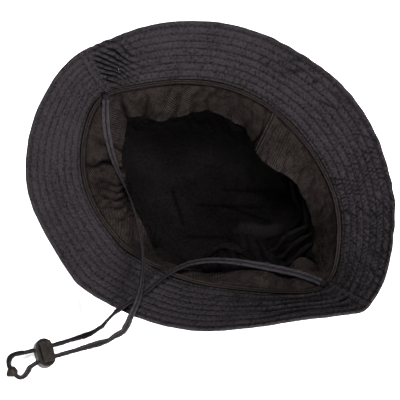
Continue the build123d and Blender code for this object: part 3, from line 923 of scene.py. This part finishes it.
# ---------------------------------------------------------------- sweatband
# Free edge of the band: place round the outline, then x, y and height. It stands off unevenly.
BAND_FREE = [
    (0.0, 96, 12, 67), (0.55, 92, 19, 58), (1.2, 86, 29, 56), (2.0, 69, 42, 58), (2.6, 52, 49, 62),
    (3.1, 35, 51, 66), (3.6, 15, 48, 68), (4.1, -1, 52, 68), (4.6, -22, 59, 63), (5.0, -42, 59, 58),
    (5.5, -58, 42, 64), (6.0, -70, 20, 74), (6.4, -79, 17, 66), (6.9, -91, 13, 60),
    (7.5, -95, 6, 60), (8.0, -86, -4, 68), (8.6, -79, -15, 71), (9.2, -72, -25, 66), (9.8, -58, -35, 68),
    (10.5, -40, -46, 67), (11.2, -14, -57, 66), (11.9, 4, -65, 61), (12.6, 22, -62, 58),
    (13.2, 40, -50, 60), (13.8, 52, -27, 70), (14.1, 60, -17, 74), (14.35, 65, -11, 75),
    (14.6, 72, -11, 71), (14.85, 78, -8, 67), (15.1, 80, -2, 74), (15.4, 82, 6, 77), (15.7, 89, 10, 75),
]
band_free_at = closed_curve([row[1:] for row in BAND_FREE], [row[0] for row in BAND_FREE])
BAND_INSET = 2.0
BAND_TOP = CROWN_DEPTH + 1.6
BAND_CLOTH_THICKNESS = 1.0
BAND_LENGTH_ACROSS = 34.0
BAND_HEM = 30.0             # stitch row near the free edge, from the sewn one
BAND_JOIN = 4.0             # place of the strip over the band's two ends
BAND_STEP = 0.95
band_seam_at = closed_curve(inset(SEAM, BAND_INSET))


def band_base(t, shares):
    """Smooth surface of the band, from its sewn edge to its free one."""
    base = between(raised(band_seam_at(t), BAND_TOP), band_free_at(t), shares)
    # The sewn edge leaves the seam nearly level, so the band bows upwards in the middle.
    base[..., 2] += 3.2 * np.sin(math.pi * shares) * (1 - 0.35 * shares)
    return base


# Folds that run across the band: place, width in stations, and depth in millimetres.
BAND_FOLDS = [
    (9.30, 0.045, -3.6), (9.42, 0.08, 2.4), (8.75, 0.07, -1.8), (7.35, 0.08, -3.2), (7.2, 0.10, 1.6),
    (6.02, 0.09, 2.2), (5.80, 0.06, -1.8), (4.11, 0.035, -1.6), (4.45, 0.06, -1.2),
    (9.75, 0.045, -1.9), (9.93, 0.04, -1.7), (10.12, 0.045, -2.0), (10.32, 0.04, -1.6), (10.55, 0.045, -1.2),
    (5.25, 0.06, -1.2), (5.5, 0.05, -1.4), (6.6, 0.05, -1.6), (2.9, 0.05, -0.9), (3.3, 0.04, -0.8),
    (14.9, 0.10, -1.6), (4.75, 0.05, -0.9),
]


def band_creases(t, s, r):
    """How crumpled the band is round its outline, and its sharp creases there."""
    crumple = 0.25 + bumps(t, (1.0, 9.7, 0.9), (0.5, 3.0, 0.6), (0.4, 5.6, 0.6))
    return crumple, crumple * creases(s, r, 0 * s, 6.0, 0.25, 3)


def band_folds(t, r, scale):
    """Sum of the folds across the band, with their depths passed through scale."""
    return sum(scale(depth) * around(t + 0.10 * noise(r / 12 + place, t * 0), place, wide)
               for place, wide, depth in BAND_FOLDS)


def band_relief(t, s, shares):
    """Wrinkles and folds of the loose part of the band, in millimetres."""
    r = shares * BAND_LENGTH_ACROSS
    crumple, cuts = band_creases(t, s, r)
    relief = 1.1 * noise(s / 14, r / 40 + 3) + 0.4 * noise(s / 6 + 8, r / 20)
    relief = relief - 0.9 * cuts + 0.35 * crumple * noise(s / 4.6, r / 5.5 + 17)
    folds = band_folds(t, r, lambda depth: depth)
    return shares ** 1.1 * relief + folds * np.sqrt(shares) * np.clip(shares / 0.15, 0, 1)


def band_shade(t, s, shares):
    """Colour share of the band: mottled, with painted shade in its creases and the folds that run across it,
    and painted light on its front.
    """
    r = shares * BAND_LENGTH_ACROSS
    cut = band_creases(t, s, r)[1] + band_folds(t, r, lambda depth: 0.5 * max(-depth, 0))
    mottled = 1 + 0.20 * noise(s / 17 + 21, r / 11) + 0.14 * noise(s / 5, r / 4 + 9)
    mottled = mottled + 0.10 * noise(s / 1.9, r / 1.9 + 30)
    # Painted light round station 13.2; painted shade in the folds and creases.
    return (1 + 0.38 * around(t, 13.2, 1.5)) * mottled * np.exp(-cut * shares ** 0.6)


def make_band():
    t, s = even_places(0, STATIONS, BAND_STEP, band_seam_at)
    t, s = t[:-1, None], s[:-1, None]
    shares = np.concatenate([np.linspace(0, 0.94, 36), [0.965, 0.985, 0.996, 1.0]])
    base = band_base(t[:, 0], shares)
    up = -normals_of(base)
    r = shares[None] * BAND_LENGTH_ACROSS
    fine = 0.10 * noise(s / 1.7, r / 1.7) + 0.12 * noise(s / 3.6 + 40, r / 4.5)
    row = 0.28 * hump(r, BAND_HEM, 0.6)
    end = np.sqrt(1 - np.clip((shares - 0.985) / 0.015, 0, 1) ** 2)
    middle = clear_of_lining(base + up * band_relief(t, s, shares[None])[..., None],
                             CLEAR_OF_LINING * np.clip((shares - 0.08) / 0.2, 0, 1))
    top = middle + up * ((BAND_CLOTH_THICKNESS / 2 + fine - row) * end)[..., None]
    low = middle + up * ((-BAND_CLOTH_THICKNESS / 2 + fine + row) * end)[..., None]
    # Painted shade in the fine dips, along the stitch row and along the sewn edge beside the edging;
    # band_shade adds the rest.
    painted_shade = crease_shade(fine * 2.2 - row - hump(r, 1.6, 0.7)) * band_shade(t, s, shares[None])
    piece = shell("sweatband_cloth", low, top, uv_grid(s, r), wrap=True, shade=painted_shade)
    dress(piece, BAND_CLOTH, HAT, "band_cloth", "sweatband")
    s_axis = np.append(s, s[-1] + BAND_STEP)
    lines = stitch_lines(np.concatenate([top, top[:1]]), s_axis, r[0], [BAND_HEM], s_axis[-1], STITCH_LIFT,
                         pitch=3.0, stitch=2.2)
    stitches = tubes("sweatband_stitching", lines, 5, 0.17 * STITCH_TAPER)
    dress(stitches, BAND_THREAD, HAT, "thread")
    return t[:, 0], r[0], top, up


TAPE_SIDES = 24
PIPING_HALF, PIPING_RISE = 1.45, 1.15       # half the width and half the height of the edging


def tape_section(groove, groove_width):
    """Unit section of a folded tape with soft edges and a channel along its middle."""
    angles = np.linspace(0, 2 * math.pi, TAPE_SIDES, endpoint=False)
    across = np.sign(np.cos(angles)) * np.abs(np.cos(angles)) ** 0.75
    rise = np.sign(np.sin(angles)) * np.abs(np.sin(angles)) ** 0.6
    return across, rise * (1 - groove * hump(across, 0, groove_width))


def tape_shade(across):
    """Colour share of a folded tape, as painted shade: dark along its channel and down its two sides."""
    return (1 - 0.80 * hump(across, 0, 0.24)) * (1 - 0.6 * np.clip((np.abs(across) - 0.86) / 0.12, 0, 1))


def make_piping():
    """Folded edging over the joint of brim, crown and band, with a stitched channel along it."""
    t, s = even_places(0, STATIONS, 1.0, seam_at)
    t, s = t[:-1], s[:-1]
    height = CROWN_DEPTH + 3.3 + 0.25 * noise(s / 14, s * 0) + 0.12 * noise(s / 4, s * 0 + 5)
    path = np.column_stack([closed_curve(inset(SEAM, 1.4))(t), height])
    inward = unit(np.column_stack([closed_curve(inset(SEAM, 3))(t) - seam_at(t), 0 * t]))
    across, rise = tape_section(0.75, 0.34)
    fatness = 1 + 0.08 * noise(s[:, None] / 2.4, across[None] * 2 + 9)
    piece = sweep("seam_piping_roll", path, inward, UP, across * fatness * PIPING_HALF,
                  rise * fatness * PIPING_RISE, (s[:, None], across * PIPING_HALF), tape_shade(across), True)
    dress(piece, PIPING_CLOTH, HAT, "band_cloth", "seam_piping")


make_piping()
band_t, band_r, band_top, band_up = make_band()


def make_join_binding():
    """Folded strip over the band's two ends, with two raised edges."""
    half_width, height, depth = 2.2, 1.3, 0.3
    middle = int(np.argmin(np.abs(band_t - BAND_JOIN)))
    along, lift = band_top[middle, :, None], band_up[middle, :, None]
    sideways = unit(band_top[middle + 1] - band_top[middle - 1])[:, None]
    profile = np.linspace(-1, 1, 17)[None]
    rise = height * np.sqrt(np.maximum(1 - np.abs(profile) ** 5, 0)) - 0.55 * hump(profile, 0, 0.35) + 0.1
    rise = rise + 0.12 * noise(band_r[:, None] / 3, profile * 2)
    across = along + sideways * (profile * half_width)[..., None]
    piece = shell("join_binding_tape", across + lift * rise[..., None], across - lift * depth,
                  uv_grid(band_r[:, None], profile * half_width), shade=tape_shade(profile))
    dress(piece, PIPING_CLOTH, HAT, "band_cloth", "sweatband_join_binding")


make_join_binding()

# ---------------------------------------------------------------- hardware from the CAD
LOCK_CENTRE = np.array([-27.7, -174.5, 8.9])
LOCK_HEADING = math.radians(236.8)
LOCK_LEAN = math.radians(20)
strand_dir = np.array([math.cos(LOCK_HEADING), math.sin(LOCK_HEADING), 0])
spacing_dir = np.array([-math.sin(LOCK_HEADING), math.cos(LOCK_HEADING), 0])
press_axis = np.array([0, 0, math.cos(LOCK_LEAN)]) - strand_dir * math.sin(LOCK_LEAN)
SPRING_FOOT = -7.1          # along the press axis from the lock's centre
SPRING_HEIGHT, SPRING_PRESSED = 3.2, 0.7
SPRING_RADIUS, SPRING_WIRE, SPRING_TURNS = 2.0, 0.25, 2

hardware = [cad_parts[node] for node in ("cord_lock_body", "cord_lock_plunger", "lace_bead")]
for node in hardware:
    node.data.materials.clear()
    node.data.materials.append(PLASTIC)


def make_spring():
    """Coil under the plunger, built at its rest height; the real coil shortens as the plunger is pressed."""
    share = np.linspace(0, 1, 120)
    angle = share * 2 * math.pi * SPRING_TURNS
    rise = SPRING_FOOT + SPRING_WIRE + (SPRING_HEIGHT - 2 * SPRING_WIRE) * share
    outwards = np.outer(np.cos(angle), spacing_dir)
    outwards += np.outer(np.sin(angle), np.cross(press_axis, spacing_dir))
    line = LOCK_CENTRE + outwards * SPRING_RADIUS + press_axis * rise[:, None]
    piece = tubes("lock_spring_wire", line[None], 10, SPRING_WIRE)
    dress(piece, STEEL, LOCK, "spring_steel", "cord_lock_spring")
    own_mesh(piece)
    return piece


hardware.append(make_spring())

# ---------------------------------------------------------------- chin lace
LACE_WIDTH = 5.9
LACE_THICKNESS = 1.1
LACE_BUNCHED = 3.7          # width where it is bunched
LACE_BUNCHED_THICKNESS = 2.6
LACE_STEP = 1.2
BUNCH_START, BUNCH_BELOW = -28.0, 20.0      # along the strands from the lock's centre, and a height
LOOP_START, BEAD_REACH, LOOP_FADE = 12.0, 7.0, 3.0
BLEND = 7                   # points each way over which the lace goes from flat to bunched
STRAND_SPACING = 9.0
near = LOCK_CENTRE + spacing_dir * STRAND_SPACING / 2
far = LOCK_CENTRE - spacing_dir * STRAND_SPACING / 2
STRAIGHT_HAT_SIDE, STRAIGHT_LOOP_SIDE = 38.0, 12.0
BEAD_CENTRE = np.array([-38.0, -201.7, 4.4])
bead_dir = np.array([math.cos(math.radians(-12)), math.sin(math.radians(-12)), 0])
BEAD_STRAIGHT = 8.0

LEFT_STRAND = [
    (-109, 1.2, 94.2), (-101, -9.5, 87.5), (-88, -21, 82), (-73, -31, 79), (-56, -38.5, 78),
    (-39, -47, 80), (-22, -59, 86), (-6, -73, 97), (6, -87, 110), (14, -98.5, 123),
    (18, -108.5, 129.5), (20.5, -117, 129), (21.5, -122.5, 121), (19.5, -124.5, 104),
    (15.5, -127.5, 80), (11, -131.5, 55), (5, -137, 30),
]
RIGHT_STRAND = [
    (-5.5, -135, 32), (-1, -131, 57), (3, -127.5, 83), (6, -125.5, 107), (8, -123.5, 122),
    (9, -118.5, 129), (11, -110.5, 127), (13, -100, 116), (14, -88, 107.3), (15.5, -71, 97),
    (20, -55, 88.5), (30, -41.5, 84), (45, -29.5, 83), (62, -19.5, 84), (79, -10.5, 87),
    (94, -3.5, 90), (106, -0.5, 93.4),
]
route = LEFT_STRAND + [
    near - strand_dir * STRAIGHT_HAT_SIDE, near + strand_dir * STRAIGHT_LOOP_SIDE, (-27.5, -195.5, 6.0),
    BEAD_CENTRE + bead_dir * BEAD_STRAIGHT, BEAD_CENTRE - bead_dir * BEAD_STRAIGHT, (-47.5, -191.5, 6.2),
    far + strand_dir * STRAIGHT_LOOP_SIDE, far - strand_dir * STRAIGHT_HAT_SIDE,
] + RIGHT_STRAND


def spline_points(points):
    """Points, in millimetres, along the smooth line that the route's points control."""
    data = bpy.data.curves.new("lace_route", "CURVE")
    data.dimensions = "3D"
    data.resolution_u = 12
    line = data.splines.new("NURBS")
    line.points.add(len(points) - 1)
    for control, point in zip(line.points, points):
        control.co = (*(np.array(point, float) * MM), 1)
    line.order_u = 3
    line.use_endpoint_u = True
    carrier = bpy.data.objects.new("lace_route", data)
    bpy.context.scene.collection.objects.link(carrier)
    graph = bpy.context.evaluated_depsgraph_get()
    mesh = bpy.data.meshes.new_from_object(carrier.evaluated_get(graph))
    found = np.array([vertex.co[:] for vertex in mesh.vertices]) / MM
    bpy.data.objects.remove(carrier)
    bpy.data.meshes.remove(mesh)
    return found


def resample(points, step):
    length = np.append(0, np.cumsum(np.linalg.norm(np.diff(points, axis=0), axis=1)))
    count = int(length[-1] / step) + 1
    targets = np.linspace(0, length[-1], count)
    return np.stack([np.interp(targets, length, points[:, k]) for k in range(3)], 1), targets


# Roll of the flat lace about its own line, in degrees, at shares of its length: 0 lies flat.
LACE_ROLL = [
    (0.0, 8), (0.04, 15), (0.07, 60), (0.10, 82), (0.17, 80), (0.23, 60), (0.30, 30), (0.36, 55),
    (0.40, 40), (0.47, 40), (0.50, 40), (0.54, 40), (0.60, 35), (0.66, 40), (0.70, 15), (0.77, 40),
    (0.82, 58), (0.88, 45), (0.93, 20), (1.0, 0),
]


def lace_directions(line):
    """Sideways and lift of the lace. They are carried along it, so that it doesn't flip where it hangs."""
    tangent = unit(np.gradient(line, axis=0))
    flat = np.cross(tangent, UP)
    steep = np.linalg.norm(flat, axis=1)
    flat /= np.maximum(steep, 1e-6)[:, None]
    sideways = flat.copy()
    for i in range(1, len(sideways)):
        carried = unit(sideways[i - 1] - tangent[i] * np.dot(sideways[i - 1], tangent[i]))
        if np.dot(carried, flat[i]) < 0:
            flat[i] = -flat[i]
        blend = min(1.0, steep[i]) ** 2 * 0.25
        sideways[i] = unit(carried * (1 - blend) + flat[i] * blend)
    lift = np.cross(sideways, tangent)
    return sideways, lift * np.sign(np.where(np.abs(lift[:, 2:3]) < 1e-6, 1, lift[:, 2:3]))


def lace_size(line, length):
    """Width and thickness along the lace, which is bunched through the lock and round the loop."""
    along_strand = (line - LOCK_CENTRE) @ strand_dir
    near_lock = (along_strand > BUNCH_START) & (line[:, 2] < BUNCH_BELOW)
    kernel = np.hanning(2 * BLEND + 1)
    bunch = np.pad(near_lock.astype(float), BLEND, mode="edge")
    bunch = np.convolve(bunch, kernel / kernel.sum(), mode="valid")
    from_bead = np.linalg.norm(line - BEAD_CENTRE, axis=1)
    in_loop = bunch * np.clip((along_strand - LOOP_START) / LOOP_FADE, 0, 1)
    in_loop = in_loop * np.clip((from_bead - BEAD_REACH) / LOOP_FADE, 0, 1)
    width = LACE_WIDTH * (1 - bunch) + (LACE_BUNCHED + 1.6 * in_loop) * bunch
    width = width * (1 + (0.06 + 0.16 * in_loop) * noise(length / 5, length * 0 + 3))
    return width, LACE_THICKNESS * (1 - bunch) + (LACE_BUNCHED_THICKNESS - 0.9 * in_loop) * bunch


def make_lace():
    line, length = resample(spline_points(route), LACE_STEP)
    sideways, lift = lace_directions(line)
    roll = np.radians(np.interp(length / length[-1], *np.array(LACE_ROLL).T))
    roll = (roll + 0.15 * noise(length / 25, length * 0))[:, None]
    wide = sideways * np.cos(roll) + lift * np.sin(roll)
    thin = lift * np.cos(roll) - sideways * np.sin(roll)
    width, thick = (size[:, None] / 2 for size in lace_size(line, length))
    across, rise = tape_section(0.7, 0.22)
    wave = 1 + 0.09 * noise(length[:, None] / 1.8, across[None] * 2 + 4)
    piece = sweep("chin_lace_tape", line, wide, thin, across * width * wave, rise * thick * wave,
                  (length[:, None], across * LACE_WIDTH / 2), tape_shade(across))
    dress(piece, LACE_CLOTH, HAT, "lace", "chin_lace")


make_lace()

# ---------------------------------------------------------------- bar tacks at the lace's ends
TACK_LENGTH, TACK_HALF_WIDTH, TACK_STROKES, TACK_DROP, TACK_THREAD = 3.6, 2.9, 15, 0.9, 0.3


def make_tack(name, node, end, towards):
    """Dense zigzag of thread over the end of the lace."""
    along = unit(np.subtract(end, towards))
    side = unit(np.cross(along, UP))
    up = np.cross(side, along)
    turns = np.linspace(0, 1, 90)
    zigzag = np.abs((turns * TACK_STROKES) % 2 - 1) * 2 - 1
    rise = 0.9 * (1 - np.abs(zigzag) ** 4) - 0.3
    line = end - UP * TACK_DROP + np.outer(turns * TACK_LENGTH, along) + np.outer(rise, up)
    line = line + np.outer(zigzag * TACK_HALF_WIDTH, side)
    piece = tubes(name, line[None], 6, TACK_THREAD)
    dress(piece, THREAD, HAT, "thread", node)


make_tack("left_bar_tack", "lace_tack_left", LEFT_STRAND[0], LEFT_STRAND[1])
make_tack("right_bar_tack", "lace_tack_right", RIGHT_STRAND[-1], RIGHT_STRAND[-2])
